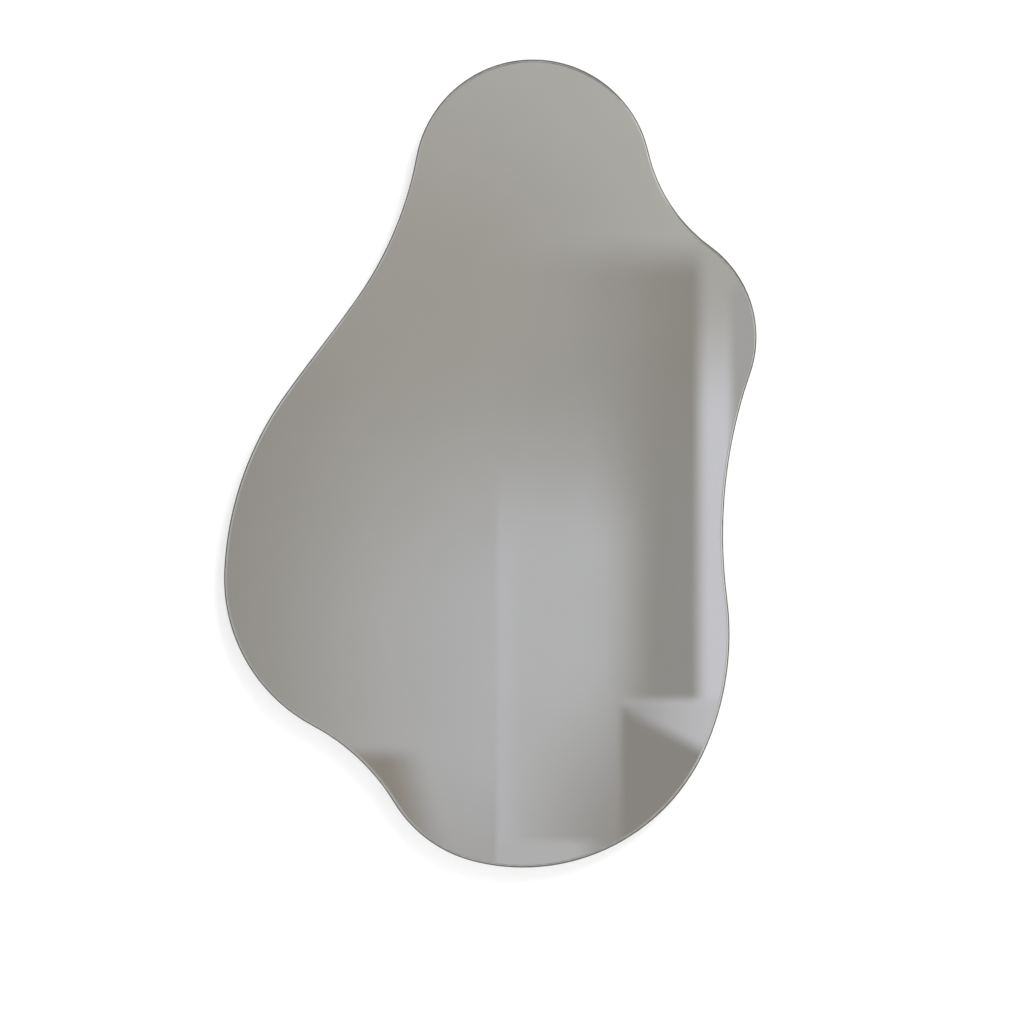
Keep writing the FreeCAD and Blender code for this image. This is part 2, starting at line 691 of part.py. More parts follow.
def rectangle(sketch, half_across, half_up):
    """A rectangle about the sketch's origin, its half sides given as expressions."""
    corners = [vector(-1, -1), vector(1, -1), vector(1, 1), vector(-1, 1)]
    sides = []
    for i, corner in enumerate(corners):
        sides.append(sketch.addGeometry(Part.LineSegment(corner, corners[(i + 1) % 4])))
    for i, side in enumerate(sides):
        following = sides[(i + 1) % 4]
        sketch.addConstraint(Sketcher.Constraint("Coincident", side, END, following, START))
    for side, kind in zip(sides, ("Horizontal", "Vertical", "Horizontal", "Vertical")):
        sketch.addConstraint(Sketcher.Constraint(kind, side))
    bottom, top = sides[0], sides[2]
    bind(sketch, "DistanceX", *ORIGIN, bottom, START, -1.0, f"-({half_across})")
    bind(sketch, "DistanceY", *ORIGIN, bottom, START, -1.0, f"-({half_up})")
    bind(sketch, "DistanceX", *ORIGIN, top, START, 1.0, half_across)
    bind(sketch, "DistanceY", *ORIGIN, top, START, 1.0, half_up)


def screws(doc, size, hanger):
    """The two screws of one strap, as a pair of separate solids."""
    pair = []
    for order, reach in enumerate(SCREW_REACHES, start=1):
        one = screw(doc, size, f"{hanger.screws}_{order}")
        hanger.seat(one, f"-({reach})", STRAP_FACE_DEPTH)
        pair.append(one)
    group = doc.addObject("Part::Compound", hanger.screws)
    group.Links = pair
    return group


# ---- the wall bumpers -------------------------------------------------------------------------


def bumper(doc, place, lobe):
    """A soft foot on the back of the board. Its flat face stands on the wall."""
    body = make_body(doc, f"bumper_{place}")
    cone = body.newObject("PartDesign::AdditiveCone", f"foot_{place}")
    cone.MapMode = "Deactivated"
    cone.setExpression("Radius1", "sizes.bumper_radius")
    cone.setExpression("Radius2", "sizes.bumper_face_radius")
    cone.setExpression("Height", "sizes.bumper_height")
    doc.recompute()
    rim = body.newObject("PartDesign::Fillet", f"rim_{place}")
    rim.Base = (cone, [top_edge(cone.Shape)])
    rim.setExpression("Radius", "sizes.bumper_round")
    body.Placement = FreeCAD.Placement(vector(0, 0), FreeCAD.Rotation(vector(1, 0), -90))
    reach = f"(sizes.{lobe}_radius - sizes.bumper_inset)"
    body.setExpression(".Placement.Base.x",
                       f"sizes.{lobe}_x + {reach} * cos(sizes.bumper_{place}_angle)")
    body.setExpression(".Placement.Base.y", f"-({BOARD_BACK})")
    body.setExpression(".Placement.Base.z",
                       f"sizes.{lobe}_z + {reach} * sin(sizes.bumper_{place}_angle)")
    return body


def top_edge(shape):
    """Name of the round edge at the top of a cone."""
    for i, edge in enumerate(shape.Edges, start=1):
        box = edge.BoundBox
        if box.ZLength < HAIR and abs(box.ZMin - shape.BoundBox.ZMax) < HAIR:
            return f"Edge{i}"


# ---- the whole --------------------------------------------------------------------------------


def check(doc, pieces):
    for item in doc.Objects:
        if "Invalid" in item.State or "Error" in item.State:
            raise RuntimeError(f"{item.Label} failed: {item.State}")
    for piece in pieces:
        if piece.Shape.isNull() or not piece.Shape.isValid() or not piece.Shape.Solids:
            raise RuntimeError(f"{piece.Label} has no valid shape")


doc = FreeCAD.newDocument("mirror")
size = make_sheet(doc)
pieces = [mirror_glass(doc, size), silver_coating(doc, size), backing_film(doc, size),
          backing_board(doc, size)]
for place, lobe in (("top", "top_lobe"), ("middle", "right_lobe"), ("left", "left_lobe"),
                    ("right", "right_lobe"), ("base", "base_lobe")):
    pieces.append(tape(doc, place, lobe))
for place, lobe in (("top", "top_lobe"), ("neck", "top_lobe"), ("left", "left_lobe"),
                    ("middle", "right_lobe"), ("right", "right_lobe"), ("base", "base_lobe")):
    pieces.append(glue(doc, size, place, lobe))
for hanger in HANGERS:
    pieces.append(strap(doc, size, hanger))
    pieces.append(ring(doc, size, hanger))
    pieces.append(screws(doc, size, hanger))
for place, lobe in (("top", "top_lobe"), ("right", "right_lobe"), ("left", "left_lobe"),
                    ("low_left", "base_lobe"), ("low_right", "base_lobe")):
    pieces.append(bumper(doc, place, lobe))
doc.recompute()
check(doc, pieces)

os.makedirs("parts", exist_ok=True)
for piece in pieces:
    piece.Shape.exportStep(f"parts/{piece.Label}.step")
    box = piece.Shape.BoundBox
    print(f"{piece.Label}: {len(piece.Shape.Solids)} solid, {piece.Shape.Volume:.1f} mm3,",
          f"x {box.XMin:.2f}..{box.XMax:.2f}, y {box.YMin:.2f}..{box.YMax:.2f},",
          f"z {box.ZMin:.2f}..{box.ZMax:.2f}")
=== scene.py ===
import math

import bmesh
import bpy
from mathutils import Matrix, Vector
from mathutils.geometry import interpolate_bezier


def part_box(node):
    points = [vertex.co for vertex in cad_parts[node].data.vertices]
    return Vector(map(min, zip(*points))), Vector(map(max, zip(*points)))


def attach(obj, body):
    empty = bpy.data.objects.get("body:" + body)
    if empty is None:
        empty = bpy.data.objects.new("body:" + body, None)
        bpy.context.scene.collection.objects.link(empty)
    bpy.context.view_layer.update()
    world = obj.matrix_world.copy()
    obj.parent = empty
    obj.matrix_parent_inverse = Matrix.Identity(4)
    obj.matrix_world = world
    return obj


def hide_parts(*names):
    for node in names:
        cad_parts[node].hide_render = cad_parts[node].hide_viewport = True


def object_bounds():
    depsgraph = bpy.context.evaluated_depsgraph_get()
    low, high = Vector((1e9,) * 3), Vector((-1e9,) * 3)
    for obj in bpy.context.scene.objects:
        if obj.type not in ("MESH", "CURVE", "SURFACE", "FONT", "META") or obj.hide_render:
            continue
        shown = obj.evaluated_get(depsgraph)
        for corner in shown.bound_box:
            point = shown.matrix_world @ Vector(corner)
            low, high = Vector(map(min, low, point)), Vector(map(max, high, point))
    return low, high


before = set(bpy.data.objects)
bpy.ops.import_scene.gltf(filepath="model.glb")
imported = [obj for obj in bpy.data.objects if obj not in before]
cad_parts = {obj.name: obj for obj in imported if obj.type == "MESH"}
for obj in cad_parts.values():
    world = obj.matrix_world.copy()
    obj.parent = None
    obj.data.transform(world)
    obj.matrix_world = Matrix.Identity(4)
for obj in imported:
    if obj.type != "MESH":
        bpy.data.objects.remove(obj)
cad_low, cad_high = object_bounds()

# Metres. The mirror faces -Y, the wall is the plane y = 0, +Z is up.


# ---- the pane ---------------------------------------------------------------------------------
# One pane of clear float glass, 5 mm thick, cut to a free outline. Its edge is ground flat, the
# two corners are taken off at 45 degrees and all of it is polished. The silver stops short of
# it, so the edge shows as a thin dark line and a thin light one round the reflection.

FRONT_ARRIS = 0.0025
BACK_ARRIS = 0.0008
# The belt leaves the front arris slightly crowned, and its corners round.
ARRIS_CROWN = 0.00006
CROWN_EASE = 0.0007
INNER_EASE = 0.0003
OUTER_EASE = 0.00008
BACK_EASE = 0.00015
ROUNDING_STEPS = 4
OUTLINE_STEP = 0.0025
FACET_TURN = math.radians(3)
SAME_POINT = 1e-6

# The pane's back is drawn this far in front of the silver, because two faces in one plane flicker.
OPTICAL_GAP = 0.00002


def outline_at(node, depth):
    """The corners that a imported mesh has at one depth, in order, as one closed loop."""
    merged = bmesh.new()
    merged.from_mesh(node.data)
    bmesh.ops.remove_doubles(merged, verts=merged.verts, dist=SAME_POINT)
    rim = [e for e in merged.edges if all(abs(v.co.y - depth) < SAME_POINT for v in e.verts)]
    edge, here = rim[0], rim[0].verts[0]
    start, corners = here, []
    on_rim = set(rim)
    while True:
        corners.append(here.co.copy())
        here = edge.other_vert(here)
        if here is start:
            break
        edge = next(e for e in here.link_edges if e in on_rim and e is not edge)
    merged.free()
    around = sum(a.x * b.z - b.x * a.z for a, b in zip(corners, corners[1:] + corners[:1]))
    return corners if around > 0 else corners[::-1]


def smooth_loop(corners, step):
    """A smooth closed line through the corners: its points, and the way out at each of them."""
    count = len(corners)
    after = [corners[(i + 1) % count] - corner for i, corner in enumerate(corners)]
    headings = []
    for i, way in enumerate(after):
        before = after[i - 1]
        mixed = before.normalized() * way.length + way.normalized() * before.length
        headings.append(mixed / (before.length + way.length))
    points = []
    for i, corner in enumerate(corners):
        following = (i + 1) % count
        handle = after[i].length / 3
        parts = max(1, round(after[i].length / step))
        points += interpolate_bezier(
            corner, corner + headings[i] * handle,
            corners[following] - headings[following] * handle, corners[following], parts + 1)[:-1]
    ways_out = []
    for i, point in enumerate(points):
        along = points[(i + 1) % len(points)] - points[i - 1]
        ways_out.append(Vector((along.z, 0.0, -along.x)).normalized())
    return points, ways_out


def rounded(profile):
    """A profile of (inset, depth, ease) with each corner rounded off as far as its ease."""
    corners = [Vector(corner[:2]) for corner in profile]
    softened = [corners[0]]
    for before, corner, following, ease in zip(
            corners, corners[1:], corners[2:], [corner[2] for corner in profile[1:]]):
        first = corner + (before - corner).normalized() * ease
        last = corner + (following - corner).normalized() * ease
        for step in range(ROUNDING_STEPS + 1):
            way = step / ROUNDING_STEPS
            softened.append(first.lerp(corner, way).lerp(corner.lerp(last, way), way))
    return softened + [corners[-1]]


def edged_plate(name, loop, profile):
    """A flat plate with the loop's outline. The profile runs from its front face to its back."""
    points, ways_out = loop
    built = bmesh.new()
    rings = []
    for inset, depth in profile:
        ring = [built.verts.new((p.x - w.x * inset, depth, p.z - w.z * inset))
                for p, w in zip(points, ways_out)]
        rings.append(ring)
    for ring, behind in zip(rings, rings[1:]):
        for i in range(len(ring)):
            built.faces.new((ring[i - 1], ring[i], behind[i], behind[i - 1])).smooth = True
    built.faces.new(rings[0][::-1])
    built.faces.new(rings[-1])
    bmesh.ops.recalc_face_normals(built, faces=built.faces)
    mesh = bpy.data.meshes.new(name)
    built.to_mesh(mesh)
    built.free()
    mesh.set_sharp_from_angle(angle=FACET_TURN)
    plate = bpy.data.objects.new(name, mesh)
    bpy.context.scene.collection.objects.link(plate)
    return plate


def linear(colour):
    """The linear values of an sRGB colour written as six hex digits, with full alpha."""
    channels = [int(colour[i:i + 2], 16) / 255 for i in (0, 2, 4)]
    return [c / 12.92 if c <= 0.04045 else ((c + 0.055) / 1.055) ** 2.4 for c in channels] + [1.0]


def node(tree, kind, inputs=None, **settings):
    """Adds a node with its settings. An input is given a value, a socket, or a node, which stands
    for the first output that it has in use."""
    made = tree.nodes.new(kind)
    for name, value in settings.items():
        setattr(made, name, value)
    for name, value in (inputs or {}).items():
        if isinstance(value, bpy.types.Node):
            value = next(socket for socket in value.outputs if socket.enabled)
        if isinstance(value, bpy.types.NodeSocket):
            tree.links.new(value, made.inputs[name])
        else:
            made.inputs[name].default_value = value
    return made


def material(name):
    """A new material with an empty tree and its output: (material, tree, output)."""
    made = bpy.data.materials.new(name)
    made.use_nodes = True
    made.node_tree.nodes.clear()
    return made, made.node_tree, node(made.node_tree, "ShaderNodeOutputMaterial")


def object_place(tree):
    """The socket that gives a point's place on its piece, in metres."""
    return node(tree, "ShaderNodeTexCoord").outputs["Object"]


# Float glass is drawn out over molten tin, which leaves waves of a hand's width, far too shallow
# to see but enough to bend a straight reflection. Iron in the sand tints it green in its depth.
# The ground edge keeps a trace of its grinding lines under the polish.
GLASS_IOR = 1.52
GLASS_TINT = "8cdcc3"
TINT_PER_METRE = 7.0
FLOAT_WAVE = 0.16
FLOAT_WAVE_HEIGHT = 0.00002
EDGE_POLISH = 0.03
GRIND_LINE = 0.0016
GRIND_HEIGHT = 0.000004
# A face counts as ground edge when it is turned this far from the pane, as a cosine.
EDGE_TURN = 0.99


def polished_float_glass():
    made, tree, output = material("polished_float_glass")
    place = object_place(tree)
    facing = node(tree, "ShaderNodeSeparateXYZ", {
        "Vector": node(tree, "ShaderNodeNewGeometry").outputs["True Normal"]})
    turned = node(tree, "ShaderNodeMath", {0: facing.outputs["Y"]}, operation="ABSOLUTE")
    is_edge = node(tree, "ShaderNodeMath", {0: turned, 1: EDGE_TURN}, operation="LESS_THAN")
    waves = node(tree, "ShaderNodeTexNoise", {
        "Vector": place, "Scale": 1 / FLOAT_WAVE, "Detail": 1.0, "Roughness": 0.4})
    lines = node(tree, "ShaderNodeTexNoise", {
        "Vector": place, "Scale": 1 / GRIND_LINE, "Detail": 1.0})
    wave_height = node(tree, "ShaderNodeMath", {
        0: waves, 1: FLOAT_WAVE_HEIGHT}, operation="MULTIPLY")
    line_height = node(tree, "ShaderNodeMath", {
        0: lines, 1: GRIND_HEIGHT}, operation="MULTIPLY")
    height = node(tree, "ShaderNodeMix", {
        "Factor": is_edge, "A": wave_height, "B": line_height}, data_type="FLOAT")
    bump = node(tree, "ShaderNodeBump", {"Height": height, "Distance": 1.0, "Strength": 1.0})
    polish = node(tree, "ShaderNodeMath", {0: is_edge, 1: EDGE_POLISH}, operation="MULTIPLY")
    glass = node(tree, "ShaderNodeBsdfPrincipled", {
        "Base Color": linear("ffffff"), "Roughness": polish, "IOR": GLASS_IOR,
        "Transmission Weight": 1.0, "Normal": bump})
    depth = node(tree, "ShaderNodeVolumeAbsorption", {
        "Color": linear(GLASS_TINT), "Density": TINT_PER_METRE})
    tree.links.new(glass.outputs["BSDF"], output.inputs["Surface"])
    tree.links.new(depth.outputs["Volume"], output.inputs["Volume"])
    return made


glass_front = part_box("mirror_glass")[0].y
glass_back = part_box("mirror_glass")[1].y - OPTICAL_GAP
outline = smooth_loop(
    outline_at(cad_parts["mirror_glass"], glass_front + FRONT_ARRIS), OUTLINE_STEP)
arris_middle = FRONT_ARRIS / 2 - ARRIS_CROWN
pane = edged_plate("glass_pane", outline, rounded([
    (FRONT_ARRIS + 2 * INNER_EASE, glass_front, 0.0),
    (FRONT_ARRIS, glass_front, INNER_EASE),
    (arris_middle, glass_front + arris_middle, CROWN_EASE),
    (0.0, glass_front + FRONT_ARRIS, OUTER_EASE),
    (0.0, glass_back - BACK_ARRIS, BACK_EASE),
    (BACK_ARRIS, glass_back, BACK_EASE),
    (BACK_ARRIS + 2 * BACK_EASE, glass_back, 0.0)]))
pane.data.materials.append(polished_float_glass())
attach(pane, "mirror")
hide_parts("mirror_glass")


# ---- the silver -------------------------------------------------------------------------------
# Silver laid on the back of the glass from a bath, with its copper and paint behind it. It is
# taken off along the edge, where the film closes on the glass instead.

SILVER_BRIGHT = "f7f5f2"
SILVER_DULL = "f3f1ed"
SILVER_CLOUD = 0.09


def dress(names, finish):
    """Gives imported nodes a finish, in place of the plain colour that they come with."""
    for name in names:
        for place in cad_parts[name].material_slots:
            place.material = finish


def silvering():
    made, tree, output = material("bath_silvering")
    cloud = node(tree, "ShaderNodeTexNoise", {
        "Vector": object_place(tree), "Scale": 1 / SILVER_CLOUD, "Detail": 3.0})
    tone = node(tree, "ShaderNodeMix", {
        "Factor": cloud, "A": linear(SILVER_DULL), "B": linear(SILVER_BRIGHT)},
        data_type="RGBA")
    haze = node(tree, "ShaderNodeMapRange", {
        "Value": cloud, "To Min": 0.004, "To Max": 0.0})
    silver = node(tree, "ShaderNodeBsdfPrincipled", {
        "Base Color": tone, "Metallic": 1.0, "Roughness": haze})
    tree.links.new(silver.outputs["BSDF"], output.inputs["Surface"])
    return made


dress(["silver_coating"], silvering())


# ---- the backing film -------------------------------------------------------------------------
# A dark plastic film stuck over the silver, which holds the pieces if the glass breaks. It comes
# off a roll with a fine embossed net, and small rolls and blisters stay under it when it is laid.

FILM_DARK = "171411"
# The net's raised lines are drawn lighter, a painted highlight.
FILM_NET_HIGHLIGHT = "25201c"
NET_PITCH = 0.004
NET_HEIGHT = 0.00012
BLISTER = 0.05
BLISTER_HEIGHT = 0.0006


def embossed_film():
    made, tree, output = material("embossed_film")
    place = object_place(tree)
    ridges = []
    for lean in (math.pi / 4, -math.pi / 4):
        turned = node(tree, "ShaderNodeMapping", {"Vector": place, "Rotation": (0.0, lean, 0.0)})
        wave = node(tree, "ShaderNodeTexWave", {
            "Vector": turned, "Scale": math.pi / 10 / NET_PITCH},
            wave_type="BANDS", bands_direction="X", wave_profile="SIN")
        ridges.append(wave.outputs["Fac"])
    net = node(tree, "ShaderNodeMath", {0: ridges[0], 1: ridges[1]}, operation="MAXIMUM")
    blisters = node(tree, "ShaderNodeTexNoise", {
        "Vector": place, "Scale": 1 / BLISTER, "Detail": 2.0, "Roughness": 0.35})
    laid = node(tree, "ShaderNodeBump", {
        "Height": blisters, "Distance": BLISTER_HEIGHT, "Strength": 1.0})
    pressed = node(tree, "ShaderNodeBump", {
        "Height": net, "Distance": NET_HEIGHT, "Strength": 1.0, "Normal": laid})
    # Painted highlight: the film is drawn lighter along its raised net.
    tone = node(tree, "ShaderNodeMix", {
        "Factor": net, "A": linear(FILM_DARK), "B": linear(FILM_NET_HIGHLIGHT)},
        data_type="RGBA")
    gloss = node(tree, "ShaderNodeMapRange", {
        "Value": blisters, "To Min": 0.42, "To Max": 0.6})
    film = node(tree, "ShaderNodeBsdfPrincipled", {
        "Base Color": tone, "Roughness": gloss, "IOR": 1.46, "Normal": pressed})
    tree.links.new(film.outputs["BSDF"], output.inputs["Surface"])
    return made


dress(["backing_film"], embossed_film())


# ---- tape and adhesive ------------------------------------------------------------------------
# Strips of white foam tape hold the board while beads of mirror adhesive set. Both are a
# millimetre thick, and only their ends are seen, in the slit between the board and the film.

FOAM_LIGHT = "e6e4de"
# The pores' darker colour is painted shade in the sunken pores.
FOAM_PORE_SHADE = "c4c0b6"
PORE = 0.0006
ADHESIVE_PALE = "cfc6ad"
ADHESIVE_DARK = "b3a98d"
ADHESIVE_RIPPLE = 0.008


def closed_foam():
    made, tree, output = material("closed_cell_foam")
    pores = node(tree, "ShaderNodeTexVoronoi", {"Vector": object_place(tree), "Scale": 1 / PORE})
    # Painted shade: the pores, where the bump sinks, are drawn darker.
    tone = node(tree, "ShaderNodeMix", {
        "Factor": pores, "A": linear(FOAM_PORE_SHADE), "B": linear(FOAM_LIGHT)},
        data_type="RGBA")
    bump = node(tree, "ShaderNodeBump", {
        "Height": pores, "Distance": PORE / 4, "Strength": 1.0})
    foam = node(tree, "ShaderNodeBsdfPrincipled", {
        "Base Color": tone, "Roughness": 0.85, "Normal": bump})
    tree.links.new(foam.outputs["BSDF"], output.inputs["Surface"])
    return made


def set_adhesive():
    made, tree, output = material("set_mirror_adhesive")
    ripple = node(tree, "ShaderNodeTexNoise", {
        "Vector": object_place(tree), "Scale": 1 / ADHESIVE_RIPPLE, "Detail": 3.0})
    tone = node(tree, "ShaderNodeMix", {
        "Factor": ripple, "A": linear(ADHESIVE_DARK), "B": linear(ADHESIVE_PALE)},
        data_type="RGBA")
    bump = node(tree, "ShaderNodeBump", {
        "Height": ripple, "Distance": 0.0006, "Strength": 1.0})
    adhesive = node(tree, "ShaderNodeBsdfPrincipled", {
        "Base Color": tone, "Roughness": 0.38, "Normal": bump})
    tree.links.new(adhesive.outputs["BSDF"], output.inputs["Surface"])
    return made


dress([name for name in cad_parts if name.startswith("tape_")], closed_foam())
dress([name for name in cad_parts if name.startswith("glue_")], set_adhesive())


# ---- the backing board ------------------------------------------------------------------------
# Medium-density fibreboard, 9 mm, cut smaller than the glass so that it isn't seen from the
# front. Its faces are sanded and sealed. The cut edge and the bevel show the looser core, which
# drinks the sealer and stays darker.

BOARD_FACE = "b69b72"
BOARD_FLECK = "987b52"
BOARD_PALE = "c4ac84"
BOARD_CORE = "8f724a"
# Real fibres are a tenth of a millimetre thick. They are drawn as flecks of 1 to 2 mm, so that
# they show from a step away.
FIBRE = 0.0011
FIBRE_STRETCH = 2.4
CLOUD = 0.07
SANDING = 0.0009
# A face counts as cut edge when it is turned this far from the board, as a cosine.
CUT_TURN = 0.95


def sealed_fibreboard():
    made, tree, output = material("sealed_fibreboard")
    place = object_place(tree)
    drawn = node(tree, "ShaderNodeMapping", {
        "Vector": place, "Scale": (FIBRE_STRETCH, 1.0, 1.0), "Rotation": (0.0, 0.5, 0.0)})
    fibres = node(tree, "ShaderNodeTexNoise", {
        "Vector": drawn, "Scale": 1 / FIBRE / FIBRE_STRETCH, "Detail": 4.0,
        "Roughness": 0.7, "Distortion": 0.6})
    clouds = node(tree, "ShaderNodeTexNoise", {
        "Vector": place, "Scale": 1 / CLOUD, "Detail": 3.0, "Roughness": 0.55})
    scratched = node(tree, "ShaderNodeMapping", {"Vector": place, "Scale": (1.0, 1.0, 0.02)})
    sanding = node(tree, "ShaderNodeTexNoise", {
        "Vector": scratched, "Scale": 1 / SANDING, "Detail": 1.0})
    flecks = node(tree, "ShaderNodeValToRGB", {"Fac": fibres})
    ramp = flecks.color_ramp
    ramp.elements[0].position, ramp.elements[0].color = 0.34, linear(BOARD_FLECK)
    ramp.elements[1].position, ramp.elements[1].color = 0.72, linear(BOARD_PALE)
    middle = ramp.elements.new(0.47)
    middle.color = linear(BOARD_FACE)
    mottle = node(tree, "ShaderNodeMapRange", {
        "Value": clouds, "From Min": 0.3, "From Max": 0.7, "To Min": 0.86,
        "To Max": 1.06})
    face = node(tree, "ShaderNodeVectorMath", {
        0: flecks, "Scale": mottle}, operation="SCALE")
    facing = node(tree, "ShaderNodeSeparateXYZ", {
        "Vector": node(tree, "ShaderNodeNewGeometry").outputs["True Normal"]})
    turned_away = node(tree, "ShaderNodeMath", {0: facing.outputs["Y"]}, operation="ABSOLUTE")
    is_core = node(tree, "ShaderNodeMath", {
        0: turned_away, 1: CUT_TURN}, operation="LESS_THAN")
    core = node(tree, "ShaderNodeMix", {
        "Factor": fibres, "A": linear(BOARD_FLECK), "B": linear(BOARD_CORE)},
        data_type="RGBA")
    tone = node(tree, "ShaderNodeMix", {
        "Factor": is_core, "A": face, "B": core}, data_type="RGBA")
    relief = node(tree, "ShaderNodeBump", {
        "Height": fibres, "Distance": 0.00012, "Strength": 1.0})
    scored = node(tree, "ShaderNodeBump", {
        "Height": sanding, "Distance": 0.00006, "Strength": 1.0, "Normal": relief})
    sheen = node(tree, "ShaderNodeMapRange", {
        "Value": fibres, "To Min": 0.5, "To Max": 0.72})
    board = node(tree, "ShaderNodeBsdfPrincipled", {
        "Base Color": tone, "Roughness": sheen, "Normal": scored})
    tree.links.new(board.outputs["BSDF"], output.inputs["Surface"])
    return made


dress(["backing_board"], sealed_fibreboard())


# ---- straps and rings -------------------------------------------------------------------------
# Each hanger is a strip of 0.8 mm steel folded round the straight side of a D of 2.5 mm wire.
# Both are zinc plated and passivated: pale, faintly blue and yellow in clouds, with the marks of
# the rolls and of the barrel they were plated in. The stamped edges are slightly rounded.

STRAPS = ["hanger_strap_left", "hanger_strap_right", "side_strap_upper", "side_strap_lower"]
RINGS = ["hanger_ring_left", "hanger_ring_right", "side_ring_upper", "side_ring_lower"]
STAMPED_ROUND = 0.00018
SHARP_TURN = math.radians(40)
ZINC_BLUE = "bcc0c3"
ZINC_YELLOW = "c6c3b6"
ZINC_PALE = "cdcdca"
PLATING_CLOUD = 0.011
BARREL_MARK = 0.0011


def zinc_plate(name, smoothest, roughest, mark_height):
    made, tree, output = material(name)
    place = object_place(tree)
    clouds = node(tree, "ShaderNodeTexNoise", {
        "Vector": place, "Scale": 1 / PLATING_CLOUD, "Detail": 3.0, "Roughness": 0.6})
    marks = node(tree, "ShaderNodeTexNoise", {
        "Vector": place, "Scale": 1 / BARREL_MARK, "Detail": 2.0, "Roughness": 0.6})
    film = node(tree, "ShaderNodeValToRGB", {"Fac": clouds})
    ramp = film.color_ramp
    ramp.elements[0].position, ramp.elements[0].color = 0.32, linear(ZINC_BLUE)
    ramp.elements[1].position, ramp.elements[1].color = 0.7, linear(ZINC_YELLOW)
    middle = ramp.elements.new(0.5)
    middle.color = linear(ZINC_PALE)
    bump = node(tree, "ShaderNodeBump", {
        "Height": marks, "Distance": mark_height, "Strength": 1.0})
    rough = node(tree, "ShaderNodeMapRange", {
        "Value": marks, "From Min": 0.3, "From Max": 0.7, "To Min": smoothest,
        "To Max": roughest})
    zinc = node(tree, "ShaderNodeBsdfPrincipled", {
        "Base Color": film, "Metallic": 1.0, "Roughness": rough, "Normal": bump})
    tree.links.new(zinc.outputs["BSDF"], output.inputs["Surface"])
    return made


def rounded_copy(name, original, radius):
    """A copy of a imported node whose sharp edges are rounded."""
    built = bmesh.new()
    built.from_mesh(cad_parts[original].data)
    bmesh.ops.remove_doubles(built, verts=built.verts, dist=SAME_POINT)
    bmesh.ops.dissolve_limit(built, angle_limit=math.radians(1), verts=built.verts,
                             edges=built.edges)
    sharp = [e for e in built.edges if len(e.link_faces) == 2
             and e.calc_face_angle() > SHARP_TURN]
    bmesh.ops.bevel(built, geom=sharp, offset=radius, offset_type="OFFSET", segments=3,
                    profile=0.5, affect="EDGES", clamp_overlap=True)
    for face in built.faces:
        face.smooth = True
    mesh = bpy.data.meshes.new(name)
    built.to_mesh(mesh)
    built.free()
    mesh.set_sharp_from_angle(angle=SHARP_TURN)
    copy = bpy.data.objects.new(name, mesh)
    bpy.context.scene.collection.objects.link(copy)
    return copy


rolled_zinc = zinc_plate("zinc_plated_strip", smoothest=0.26, roughest=0.42,
                         mark_height=0.00002)
for strap in STRAPS:
    folded = rounded_copy("folded_" + strap, strap, STAMPED_ROUND)
    folded.data.materials.append(rolled_zinc)
    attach(folded, "mirror")
    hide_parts(strap)

dress(RINGS, zinc_plate("zinc_plated_wire", smoothest=0.16, roughest=0.3,
                        mark_height=0.00001))


# ---- the hanger screws ------------------------------------------------------------------------
# Eight pan-head wood screws, zinc plated, with a cross recess pressed into the domed head. Two
# hold each strap to the board. No two were driven to the same turn.

HEAD_RADIUS = 0.00325
HEAD_HEIGHT = 0.0020
HEAD_RIM = 0.0007
# The dome's curve leaves its crown level. Its handle there ends this far short of the rim, as a
# share of the head's radius.
DOME_HANDLE = 0.45
DOME_STEPS = 10
RECESS_REACH = 0.0018
RECESS_WIDTH = 0.0009
RECESS_DEPTH = 0.0011
RECESS_TAPER = 0.45
# The blades that press the recess are this much longer than it is deep, and stand out of the dome.
BLADE_LENGTH = 1.02
HEAD_SIDES = 48
SCREW_GROUPS = ["hanger_screws_left", "hanger_screws_right",
                "side_screws_upper", "side_screws_lower"]


def screw_places():
    """The eight points on the straps where the heads seat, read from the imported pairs."""
    places = []
    for group in SCREW_GROUPS:
        low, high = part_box(group)
        seat = high.y - HEAD_HEIGHT
        middle = (low + high) / 2
        if high.z - low.z > high.x - low.x:
            places += [(middle.x, seat, low.z + HEAD_RADIUS),
                       (middle.x, seat, high.z - HEAD_RADIUS)]
        else:
            places += [(low.x + HEAD_RADIUS, seat, middle.z),
                       (high.x - HEAD_RADIUS, seat, middle.z)]
    return places


def tree_with(name, sizes):
    """A geometry tree that takes geometry and named sizes: (tree, input node, output node)."""
    tree = bpy.data.node_groups.new(name, "GeometryNodeTree")
    tree.interface.new_socket("Geometry", in_out="INPUT", socket_type="NodeSocketGeometry")
    for label, value in sizes.items():
        kind = "NodeSocketInt" if isinstance(value, int) else "NodeSocketFloat"
        tree.interface.new_socket(label, in_out="INPUT", socket_type=kind).default_value = value
    tree.interface.new_socket("Geometry", in_out="OUTPUT", socket_type="NodeSocketGeometry")
    return tree, node(tree, "NodeGroupInput"), node(tree, "NodeGroupOutput")


